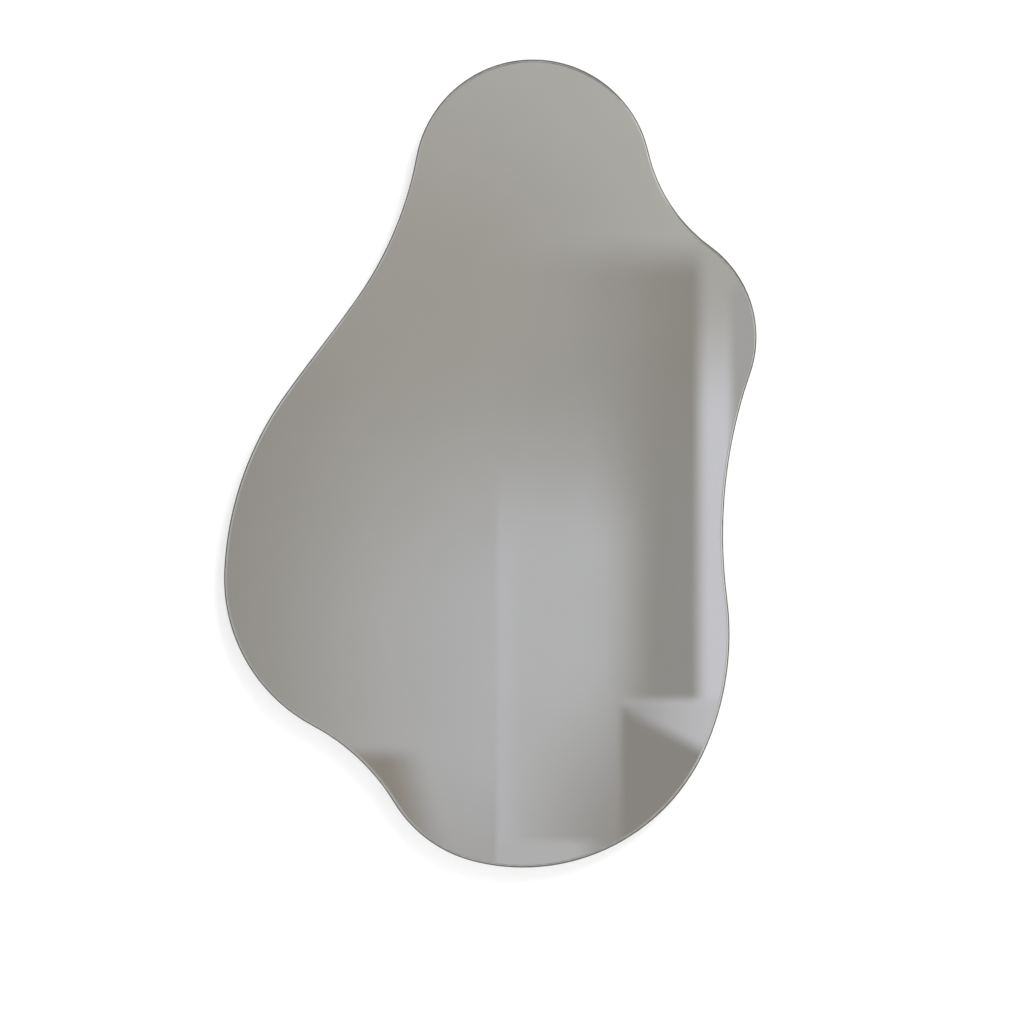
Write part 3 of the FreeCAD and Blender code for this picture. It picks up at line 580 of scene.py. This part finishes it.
def pan_head_tree(finish):
    """Turns each point into a pan head that looks along +Y, seated on the point."""
    tree, given, output = tree_with("pan_head_screws", {
        "Head Radius": HEAD_RADIUS, "Head Height": HEAD_HEIGHT, "Rim": HEAD_RIM,
        "Recess Reach": RECESS_REACH, "Recess Width": RECESS_WIDTH,
        "Recess Depth": RECESS_DEPTH, "Recess Taper": RECESS_TAPER, "Sides": HEAD_SIDES,
        "Seed": 7})
    radius, height, rim = (given.outputs[n] for n in ("Head Radius", "Head Height", "Rim"))
    inward = node(tree, "ShaderNodeMath", {0: radius, 1: -1.0}, operation="MULTIPLY")
    part_in = node(tree, "ShaderNodeMath", {0: radius, 1: -DOME_HANDLE}, operation="MULTIPLY")

    # The dome's half section, then the rim and the seat. X runs out from the axis, which lies at
    # minus the head's radius, and Y runs up the screw.
    dome = node(tree, "GeometryNodeCurvePrimitiveBezierSegment", {
        "Resolution": DOME_STEPS,
        "Start": node(tree, "ShaderNodeCombineXYZ", {"X": inward, "Y": height}),
        "Start Handle": node(tree, "ShaderNodeCombineXYZ", {"X": part_in, "Y": height}),
        "End Handle": node(tree, "ShaderNodeCombineXYZ", {"Y": height}),
        "End": node(tree, "ShaderNodeCombineXYZ", {"Y": rim})}, mode="POSITION")
    edge = node(tree, "GeometryNodeCurvePrimitiveLine", {
        "Start": node(tree, "ShaderNodeCombineXYZ", {"Y": rim}), "End": (0.0, 0.0, 0.0)})
    seat = node(tree, "GeometryNodeCurvePrimitiveLine", {
        "Start": (0.0, 0.0, 0.0), "End": node(tree, "ShaderNodeCombineXYZ", {"X": inward})})
    parts = node(tree, "GeometryNodeJoinGeometry")
    for part in (seat, edge, dome):
        tree.links.new(part.outputs["Curve"], parts.inputs["Geometry"])
    wires = node(tree, "GeometryNodeCurveToMesh", {"Curve": parts})
    one_wire = node(tree, "GeometryNodeMergeByDistance", {
        "Geometry": wires, "Distance": SAME_POINT})
    section = node(tree, "GeometryNodeMeshToCurve", {"Mesh": one_wire})
    path = node(tree, "GeometryNodeCurvePrimitiveCircle", {
        "Resolution": given.outputs["Sides"], "Radius": radius})
    turned = node(tree, "GeometryNodeCurveToMesh", {
        "Curve": path, "Profile Curve": section})
    closed = node(tree, "GeometryNodeMergeByDistance", {
        "Geometry": turned, "Distance": 5 * SAME_POINT})
    # A curve to mesh lays the section's Y along minus Z, so the head is turned over.
    upright = node(tree, "GeometryNodeTransform", {
        "Geometry": closed, "Rotation": (math.pi, 0.0, 0.0)})

    # The recess is two tapered blades across each other.
    reach, width, depth = (
        given.outputs[n] for n in ("Recess Reach", "Recess Width", "Recess Depth"))
    tip = node(tree, "ShaderNodeMath", {
        0: reach, 1: given.outputs["Recess Taper"]}, operation="MULTIPLY")
    blade = node(tree, "GeometryNodeMeshCone", {
        "Vertices": 4, "Radius Top": reach, "Radius Bottom": tip, "Depth": depth})
    squared = node(tree, "GeometryNodeTransform", {
        "Geometry": blade, "Rotation": (0.0, 0.0, math.pi / 4)})
    thin = node(tree, "ShaderNodeMath", {0: width, 1: reach}, operation="DIVIDE")
    thinned = node(tree, "ShaderNodeMath", {
        0: thin, 1: 1 / math.sqrt(2)}, operation="MULTIPLY")
    floor = node(tree, "ShaderNodeMath", {0: height, 1: depth}, operation="SUBTRACT")
    cutters = []
    for turn in (0.0, math.pi / 2):
        flat = node(tree, "GeometryNodeTransform", {
            "Geometry": squared, "Scale": node(tree, "ShaderNodeCombineXYZ", {
                "X": math.sqrt(2), "Y": thinned, "Z": BLADE_LENGTH})})
        cutters.append(node(tree, "GeometryNodeTransform", {
            "Geometry": flat, "Rotation": (0.0, 0.0, turn),
            "Translation": node(tree, "ShaderNodeCombineXYZ", {"Z": floor})}))
    pressed = node(tree, "GeometryNodeMeshBoolean", {
        "Mesh 1": upright}, operation="DIFFERENCE", solver="EXACT")
    for cutter in cutters:
        tree.links.new(cutter.outputs["Geometry"], pressed.inputs["Mesh 2"])

    # Each head is laid over to look along +Y and turned by chance about its own axis.
    laid = node(tree, "GeometryNodeTransform", {
        "Geometry": pressed, "Rotation": (-math.pi / 2, 0.0, 0.0)})
    chance = node(tree, "FunctionNodeRandomValue", {
        "Min": 0.0, "Max": math.pi / 2, "Seed": given.outputs["Seed"]}, data_type="FLOAT")
    placed = node(tree, "GeometryNodeInstanceOnPoints", {
        "Points": given.outputs["Geometry"], "Instance": laid.outputs["Geometry"],
        "Rotation": node(tree, "ShaderNodeCombineXYZ", {"Y": chance})})
    real = node(tree, "GeometryNodeRealizeInstances", {"Geometry": placed})
    coated = node(tree, "GeometryNodeSetMaterial", {
        "Geometry": real, "Material": finish})
    tree.links.new(coated.outputs["Geometry"], output.inputs["Geometry"])
    return tree


def grown(name, points, tree):
    """Runs a geometry tree on loose points and returns the result as a plain mesh object."""
    seeds = bpy.data.meshes.new(name + "_points")
    seeds.from_pydata(points, [], [])
    carrier = bpy.data.objects.new(name + "_carrier", seeds)
    bpy.context.scene.collection.objects.link(carrier)
    carrier.modifiers.new("grow", "NODES").node_group = tree
    bpy.context.view_layer.update()
    evaluated = carrier.evaluated_get(bpy.context.evaluated_depsgraph_get())
    mesh = bpy.data.meshes.new_from_object(evaluated)
    mesh.name = name
    bpy.data.objects.remove(carrier)
    for face in mesh.polygons:
        face.use_smooth = True
    mesh.set_sharp_from_angle(angle=SHARP_TURN)
    made = bpy.data.objects.new(name, mesh)
    bpy.context.scene.collection.objects.link(made)
    return made


screws = grown("hanger_screws", screw_places(), pan_head_tree(
    zinc_plate("zinc_plated_screw", smoothest=0.2, roughest=0.36, mark_height=0.000012)))
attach(screws, "mirror")
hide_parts(*SCREW_GROUPS)


# ---- the wall bumpers -------------------------------------------------------------------------
# Five moulded feet of soft black rubber, stuck to the board, which stand it off the wall. The
# mould leaves a fine grain, and the rubber picks up dust.

RUBBER = "1b1b1c"
RUBBER_DUSTY = "3a3936"
MOULD_GRAIN = 0.0008
DUST = 0.004


def moulded_rubber():
    made, tree, output = material("moulded_rubber")
    place = object_place(tree)
    grain = node(tree, "ShaderNodeTexNoise", {
        "Vector": place, "Scale": 1 / MOULD_GRAIN, "Detail": 2.0})
    dust = node(tree, "ShaderNodeTexNoise", {
        "Vector": place, "Scale": 1 / DUST, "Detail": 4.0, "Roughness": 0.7})
    settled = node(tree, "ShaderNodeMapRange", {
        "Value": dust, "From Min": 0.5, "From Max": 0.8})
    tone = node(tree, "ShaderNodeMix", {
        "Factor": settled, "A": linear(RUBBER), "B": linear(RUBBER_DUSTY)},
        data_type="RGBA")
    bump = node(tree, "ShaderNodeBump", {
        "Height": grain, "Distance": 0.00005, "Strength": 1.0})
    rough = node(tree, "ShaderNodeMapRange", {
        "Value": grain, "To Min": 0.55, "To Max": 0.8})
    rubber = node(tree, "ShaderNodeBsdfPrincipled", {
        "Base Color": tone, "Roughness": rough, "Normal": bump})
    tree.links.new(rubber.outputs["BSDF"], output.inputs["Surface"])
    return made


dress([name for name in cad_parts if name.startswith("bumper_")], moulded_rubber())


# ---- wall and floor ---------------------------------------------------------------------------
# White paper. The wall stands just behind the bumpers and takes the mirror's soft shadow. From
# behind it isn't there, so that the back of the mirror can be seen.

WALL_GAP = 0.0003
WALL_REACH = 6.0
FLOOR_DEPTH = 0.55
PAPER = "b4b4b4"
PAPER_GLOW = 0.58
FLOOR_GLOW_SEEN = 0.74


def level_where_seen(tree, elsewhere, seen):
    """A strength for rays that see a surface, straight or in a mirror, and one for all others."""
    path = node(tree, "ShaderNodeLightPath")
    seeing = node(tree, "ShaderNodeMath", {
        0: path.outputs["Is Camera Ray"], 1: path.outputs["Is Glossy Ray"]}, operation="MAXIMUM")
    seeing = node(tree, "ShaderNodeMath", {
        0: seeing, 1: path.outputs["Is Transmission Ray"]}, operation="MAXIMUM")
    return node(tree, "ShaderNodeMapRange", {
        "Value": seeing, "To Min": elsewhere, "To Max": seen})


def white_paper(name, glow_seen, one_sided):
    made, tree, output = material(name)
    lit = node(tree, "ShaderNodeBsdfDiffuse", {"Color": linear(PAPER)})
    glow = node(tree, "ShaderNodeEmission", {
        "Color": linear("ffffff"), "Strength": level_where_seen(tree, PAPER_GLOW, glow_seen)})
    paper = node(tree, "ShaderNodeAddShader", {0: lit, 1: glow})
    if one_sided:
        behind = node(tree, "ShaderNodeNewGeometry").outputs["Backfacing"]
        clear = node(tree, "ShaderNodeBsdfTransparent")
        paper = node(tree, "ShaderNodeMixShader", {
            0: behind, 1: paper, 2: clear})
    tree.links.new(paper.outputs["Shader"], output.inputs["Surface"])
    return made


def sheet(name, corners, finish):
    """One flat four-cornered face that belongs to the stage."""
    mesh = bpy.data.meshes.new(name)
    mesh.from_pydata(corners, [], [tuple(range(len(corners)))])
    mesh.materials.append(finish)
    made = bpy.data.objects.new(name, mesh)
    bpy.context.scene.collection.objects.link(made)
    return made


floor_z = cad_low.z - FLOOR_DEPTH
reach = WALL_REACH
wall = sheet("wall", [(-reach, WALL_GAP, floor_z), (reach, WALL_GAP, floor_z),
                      (reach, WALL_GAP, reach), (-reach, WALL_GAP, reach)],
             white_paper("wall_paper", PAPER_GLOW, one_sided=True))
wall.visible_diffuse = wall.visible_glossy = wall.visible_shadow = False
floor = sheet("floor", [(-reach, -reach, floor_z), (reach, -reach, floor_z),
                        (reach, reach, floor_z), (-reach, reach, floor_z)],
              white_paper("floor_paper", FLOOR_GLOW_SEEN, one_sided=False))
# The glass shows the tent's soft greys below the horizon too, in place of this white.
floor.visible_glossy = floor.visible_transmission = False


# ---- camera -----------------------------------------------------------------------------------
# Square on to the glass, on a long lens.

CAMERA_DISTANCE = 3.0
VIEW_WIDTH = 1.1395
VIEW_X = 0.0027
VIEW_Z = -0.203
SENSOR = 36.0

camera = bpy.data.objects.new("camera", bpy.data.cameras.new("camera"))
camera.data.sensor_width = SENSOR
camera.data.lens = SENSOR * CAMERA_DISTANCE / VIEW_WIDTH
camera.location = (VIEW_X, glass_front - CAMERA_DISTANCE, VIEW_Z)
camera.rotation_euler = (math.pi / 2, 0.0, 0.0)
camera.data.clip_end = 50.0
bpy.context.scene.collection.objects.link(camera)
bpy.context.scene.camera = camera


# ---- the reflection tent ----------------------------------------------------------------------
# A half dome round the front of the mirror that glows with painted soft greys, seen only by
# reflected and
# refracted rays and lighting nothing: a painted reflection. Silver shows whatever stands before
# it, so the tones of the glass are the tones of this glow: broad soft fields, each laid out by
# where it lies on the glass in the main view.

TENT_RADIUS = 3.3
TENT_GAP = 0.02
# What silver and glass leave of red, green and blue. The painted glow is that much brighter, so
# that a field's colour is the colour seen on the glass.
MIRROR_SHARE = (0.89, 0.9, 0.86)

# The four ways that a field's side can face, in degrees from +X towards +Z.
RIGHT, UP, LEFT, DOWN = range(0, 360, 90)


def soft_side(tree, place, x, z, way, fade):
    """1 on the side of a line through (x, z) that lies the given way, 0 on the other.

    The step between them takes the fade to each side of the line. Millimetres on the glass.
    """
    turn = math.radians(way)
    across = Vector((math.cos(turn), 0.0, math.sin(turn)))
    middle = Vector((x, 0.0, z)).dot(across)
    reached = node(tree, "ShaderNodeVectorMath", {0: place, 1: across}, operation="DOT_PRODUCT")
    return node(tree, "ShaderNodeMapRange", {
        "Value": reached, "From Min": (middle - fade) / 1000, "From Max": (middle + fade) / 1000},
        interpolation_type="SMOOTHSTEP")


def field(tree, place, below, colour, *sides):
    """Lays a field of one colour of the painted reflection over the fields below it, as far as its
    soft sides reach.
    """
    inside = 1.0
    for side in sides:
        inside = node(tree, "ShaderNodeMath", {
            0: inside, 1: soft_side(tree, place, *side)}, operation="MULTIPLY")
    return node(tree, "ShaderNodeMix", {
        "Factor": inside, "A": below, "B": linear(colour)}, data_type="RGBA")


def place_on_glass(tree):
    """Where a line from a point of the glowing dome to the camera's mirror image crosses the
    silver.
    """
    silver_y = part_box("silver_coating")[0].y
    image_of_camera = Vector((VIEW_X, 2 * silver_y - camera.location.y, VIEW_Z))
    from_image = node(tree, "ShaderNodeVectorMath", {
        0: object_place(tree), 1: image_of_camera}, operation="SUBTRACT")
    parts = node(tree, "ShaderNodeSeparateXYZ", {"Vector": from_image})
    share = node(tree, "ShaderNodeMath", {
        0: silver_y - image_of_camera.y, 1: parts.outputs["Y"]}, operation="DIVIDE")
    scaled = node(tree, "ShaderNodeVectorMath", {0: from_image, "Scale": share}, operation="SCALE")
    return node(tree, "ShaderNodeVectorMath", {0: scaled, 1: image_of_camera}, operation="ADD")


def tent_painted_reflection():
    made, tree, output = material("tent_painted_reflection")
    place = place_on_glass(tree)
    # Every field below is painted reflection: the dome glows and is seen only in the glass.
    painted_reflection = linear("9d9a93")
    # The upper half: light from above and from the upper right, dimmer on the far left.
    painted_reflection = field(tree, place, painted_reflection, "aaa8a2", (0, 200, UP, 160))
    painted_reflection = field(tree, place, painted_reflection, "b3b2ad", (130, 0, RIGHT, 240), (0, -30, UP, 60))
    painted_reflection = field(tree, place, painted_reflection, "928f89", (-215, 0, LEFT, 120), (0, 20, DOWN, 120))
    # A dim hanging on the right, from eye level down, warmer at its top.
    painted_reflection = field(tree, place, painted_reflection, "8c8982", (92, 0, RIGHT, 130), (0, 82, DOWN, 28))
    painted_reflection = field(tree, place, painted_reflection, "908e8a", (150, 0, RIGHT, 40), (0, -120, DOWN, 120))
    # The cool glow of the lower middle, with an upright fold a little left of its crown.
    painted_reflection = field(tree, place, painted_reflection, "b0b0b1", (-165, 0, RIGHT, 190), (126, -134, 178, 50),
                  (0, -150, 280, 165))
    painted_reflection = field(tree, place, painted_reflection, "a2a09e", (0, -560, DOWN, 110), (60, 0, LEFT, 40))
    painted_reflection = field(tree, place, painted_reflection, "b3b3b3", (-13, 0, RIGHT, 5), (126, -134, 178, 50),
                  (0, -200, DOWN, 60))
    painted_reflection = field(tree, place, painted_reflection, "b6b6b9", (-13, 0, RIGHT, 5), (4, 0, LEFT, 12),
                  (0, -230, DOWN, 60))
    painted_reflection = field(tree, place, painted_reflection, "928f8b", (50, 0, RIGHT, 90), (0, -473, DOWN, 120))
    painted_reflection = field(tree, place, painted_reflection, "b1b0b0", (-14, 0, RIGHT, 6), (90, 0, LEFT, 25),
                  (0, -569, DOWN, 8))
    # A bright upright strip beside the dim hanging, duller at its top, and plain grey beyond it.
    painted_reflection = field(tree, place, painted_reflection, "a9a7a2", (212.5, 0, RIGHT, 12))
    painted_reflection = field(tree, place, painted_reflection, "c6c6ca", (213, 0, RIGHT, 12), (0, -30, DOWN, 80))
    painted_reflection = field(tree, place, painted_reflection, "a1a09e", (247, 0, RIGHT, 8), (0, 50, DOWN, 10))
    # Below the hanging: a dark corner, and over it a light wedge that widens to the right.
    painted_reflection = field(tree, place, painted_reflection, "898680", (125, 0, RIGHT, 7), (0, -418, DOWN, 6))
    painted_reflection = field(tree, place, painted_reflection, "bfbfc2", (153, 0, RIGHT, 100), (0, -411, DOWN, 7),
                  (125, 0, RIGHT, 8), (212, -467, 63, 10))
    # A dim brown corner at the lower left.
    painted_reflection = field(tree, place, painted_reflection, "8b867d", (0, -472, DOWN, 12), (-116, -479, 196, 27))
    # Outside the main view: a bright band on the left, and plain greys that dim downwards.
    painted_reflection = field(tree, place, painted_reflection, "e4e1db", (-430, 0, LEFT, 60))
    painted_reflection = field(tree, place, painted_reflection, "b4b1ab", (-1000, 0, LEFT, 250))
    painted_reflection = field(tree, place, painted_reflection, "8f8c87", (-1000, 0, LEFT, 250), (0, -500, DOWN, 900))
    painted_reflection = field(tree, place, painted_reflection, "aca9a3", (380, 0, RIGHT, 60))
    painted_reflection = field(tree, place, painted_reflection, "c0beb9", (0, 440, UP, 60), (-900, 0, RIGHT, 200))
    painted_reflection = field(tree, place, painted_reflection, "c4c2bd", (0, -740, DOWN, 60), (-900, 0, RIGHT, 200))
    level = node(tree, "ShaderNodeVectorMath", {0: painted_reflection, 1: MIRROR_SHARE}, operation="DIVIDE")
    glow = node(tree, "ShaderNodeEmission", {"Color": level, "Strength": 1.0})
    tree.links.new(glow.outputs["Emission"], output.inputs["Surface"])
    return made


def tent():
    built = bmesh.new()
    bmesh.ops.create_uvsphere(built, u_segments=96, v_segments=64, radius=TENT_RADIUS)
    middle = (cad_low + cad_high) / 2
    bmesh.ops.translate(built, vec=(middle.x, 0.0, middle.z), verts=built.verts)
    rear = [v for v in built.verts if v.co.y > glass_front - TENT_GAP]
    bmesh.ops.delete(built, geom=rear, context="VERTS")
    mesh = bpy.data.meshes.new("tent")
    built.to_mesh(mesh)
    built.free()
    mesh.materials.append(tent_painted_reflection())
    made = bpy.data.objects.new("tent", mesh)
    bpy.context.scene.collection.objects.link(made)
    made.visible_camera = made.visible_diffuse = made.visible_shadow = False
    made.visible_volume_scatter = False


tent()


# ---- light ------------------------------------------------------------------------------------
# A large soft box in front, up on the right, throws the mirror's shadow on the wall to the lower
# left. A second one behind lights the back. The surround is plain white.

SURROUND_LEVEL = 0.62
SURROUND_SEEN = 1.0


def soft_box(name, place, size, watts):
    lamp = bpy.data.lights.new(name, "AREA")
    lamp.shape = "SQUARE"
    lamp.size = size
    lamp.energy = watts
    made = bpy.data.objects.new(name, lamp)
    made.location = place
    aim = (cad_low + cad_high) / 2 - Vector(place)
    made.rotation_mode = "QUATERNION"
    made.rotation_quaternion = aim.to_track_quat("-Z", "Y")
    bpy.context.scene.collection.objects.link(made)
    return made


soft_box("front_box", (2.1, -2.7, 3.1), 2.0, 205.0)
soft_box("back_box", (-1.5, 2.4, 1.3), 1.2, 42.0)

world = bpy.data.worlds.new("surround")
world.use_nodes = True
surround = world.node_tree
surround.nodes.clear()
white = node(surround, "ShaderNodeBackground", {
    "Color": linear("ffffff"),
    "Strength": level_where_seen(surround, SURROUND_LEVEL, SURROUND_SEEN)})
node(surround, "ShaderNodeOutputWorld", {"Surface": white})
bpy.context.scene.world = world
bpy.context.scene.view_settings.view_transform = "Standard"
